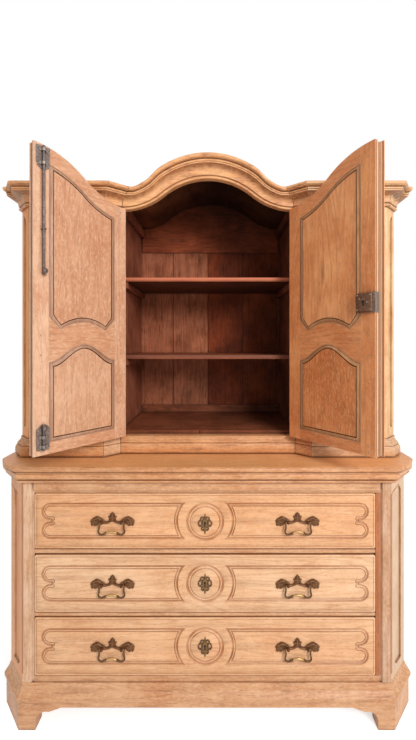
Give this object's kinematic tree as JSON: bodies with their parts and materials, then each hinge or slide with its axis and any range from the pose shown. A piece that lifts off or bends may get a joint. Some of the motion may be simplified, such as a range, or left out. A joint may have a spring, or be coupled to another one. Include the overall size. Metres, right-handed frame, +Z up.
{
  "type": "two-part buffet",
  "caption": "Tall light-oak cupboard with an arched cornice, open panelled doors and shelves, standing on a commode with carved drawers and drop handles.",
  "frame": {"origin": "on the floor, under the middle of the whole object's box with its doors standing open", "axes": "+X to the right seen from the front, +Y to the back, +Z up"},
  "size_m": [1.475, 0.6814, 1.951],
  "materials": {
    "waxed_oak": "bleached and waxed, satin",
    "stained_oak": "old brown stain, dull",
    "wrought_iron": "dark, worn",
    "aged_brass": "dark patina, bright where it is held"
  },
  "bodies": {
    "carcase": {"commode_top": "waxed_oak", "frieze_rail": "waxed_oak", "upper_divider": "waxed_oak", "lower_divider": "waxed_oak", "commode_plinth": "waxed_oak", "commode_left_side": "waxed_oak", "commode_right_side": "waxed_oak", "commode_back": "waxed_oak", "upper_base": "waxed_oak", "left_flank": "waxed_oak", "right_flank": "waxed_oak", "upper_left_side": "waxed_oak", "upper_right_side": "waxed_oak", "left_partition": "stained_oak", "right_partition": "stained_oak", "upper_back": "stained_oak", "roof": "stained_oak", "cornice": "waxed_oak", "lower_shelf": "stained_oak", "upper_shelf": "stained_oak", "left_door_lower_pintle": "wrought_iron", "left_door_upper_pintle": "wrought_iron", "right_door_lower_pintle": "wrought_iron", "right_door_upper_pintle": "wrought_iron"},
    "left_door": {"left_door_frame": "waxed_oak", "left_door_upper_panel": "waxed_oak", "left_door_lower_panel": "waxed_oak", "left_door_lower_knuckle": "wrought_iron", "left_door_upper_knuckle": "wrought_iron", "top_bolt_plate": "wrought_iron", "lower_bolt_plate": "wrought_iron"},
    "right_door": {"right_door_frame": "waxed_oak", "right_door_upper_panel": "waxed_oak", "right_door_lower_panel": "waxed_oak", "right_door_lower_knuckle": "wrought_iron", "right_door_upper_knuckle": "wrought_iron", "lock_case": "wrought_iron"},
    "top_bolt": {"top_bolt": "wrought_iron"},
    "lower_bolt": {"lower_bolt": "wrought_iron"},
    "top_drawer": {"top_drawer_front": "waxed_oak", "top_drawer_box": "stained_oak", "top_drawer_escutcheon": "aged_brass", "top_drawer_left_plate": "aged_brass", "top_drawer_right_plate": "aged_brass"},
    "middle_drawer": {"middle_drawer_front": "waxed_oak", "middle_drawer_box": "stained_oak", "middle_drawer_escutcheon": "aged_brass", "middle_drawer_left_plate": "aged_brass", "middle_drawer_right_plate": "aged_brass"},
    "bottom_drawer": {"bottom_drawer_front": "waxed_oak", "bottom_drawer_box": "stained_oak", "bottom_drawer_escutcheon": "aged_brass", "bottom_drawer_left_plate": "aged_brass", "bottom_drawer_right_plate": "aged_brass"},
    "top_left_bail": {"top_drawer_left_bail": "aged_brass"},
    "top_right_bail": {"top_drawer_right_bail": "aged_brass"},
    "middle_left_bail": {"middle_drawer_left_bail": "aged_brass"},
    "middle_right_bail": {"middle_drawer_right_bail": "aged_brass"},
    "bottom_left_bail": {"bottom_drawer_left_bail": "aged_brass"},
    "bottom_right_bail": {"bottom_drawer_right_bail": "aged_brass"}
  },
  "joints": [
    {"name": "left_door_hinge", "type": "hinge", "parent": "carcase", "child": "left_door", "pos_m": [-0.3215, -0.07102, 0.939], "axis": [0, 0, -1], "range_deg": [-131, 3]},
    {"name": "right_door_hinge", "type": "hinge", "parent": "carcase", "child": "right_door", "pos_m": [0.3215, -0.07102, 0.939], "axis": [0, 0, 1], "range_deg": [-129, 5]},
    {"name": "top_bolt_slide", "type": "slide", "parent": "left_door", "child": "top_bolt", "axis": [0, 0, 1], "range_m": [0, 0.018]},
    {"name": "lower_bolt_slide", "type": "slide", "parent": "left_door", "child": "lower_bolt", "axis": [0, 0, -1], "range_m": [0, 0.015]},
    {"name": "top_drawer_slide", "type": "slide", "parent": "carcase", "child": "top_drawer", "axis": [0, -1, 0], "range_m": [0, 0.35]},
    {"name": "middle_drawer_slide", "type": "slide", "parent": "carcase", "child": "middle_drawer", "axis": [0, -1, 0], "range_m": [0, 0.35]},
    {"name": "bottom_drawer_slide", "type": "slide", "parent": "carcase", "child": "bottom_drawer", "axis": [0, -1, 0], "range_m": [0, 0.35]},
    {"name": "top_left_bail_swing", "type": "hinge", "parent": "top_drawer", "child": "top_left_bail", "pos_m": [-0.3155, -0.20332, 0.6815], "axis": [-1, 0, 0], "range_deg": [0, 80]},
    {"name": "top_right_bail_swing", "type": "hinge", "parent": "top_drawer", "child": "top_right_bail", "pos_m": [0.3025, -0.20332, 0.6815], "axis": [-1, 0, 0], "range_deg": [0, 80]},
    {"name": "middle_left_bail_swing", "type": "hinge", "parent": "middle_drawer", "child": "middle_left_bail", "pos_m": [-0.3155, -0.20332, 0.472], "axis": [-1, 0, 0], "range_deg": [0, 80]},
    {"name": "middle_right_bail_swing", "type": "hinge", "parent": "middle_drawer", "child": "middle_right_bail", "pos_m": [0.3025, -0.20332, 0.472], "axis": [-1, 0, 0], "range_deg": [0, 80]},
    {"name": "bottom_left_bail_swing", "type": "hinge", "parent": "bottom_drawer", "child": "bottom_left_bail", "pos_m": [-0.3155, -0.20332, 0.2615], "axis": [-1, 0, 0], "range_deg": [0, 80]},
    {"name": "bottom_right_bail_swing", "type": "hinge", "parent": "bottom_drawer", "child": "bottom_right_bail", "pos_m": [0.3025, -0.20332, 0.2615], "axis": [-1, 0, 0], "range_deg": [0, 80]}
  ]
}
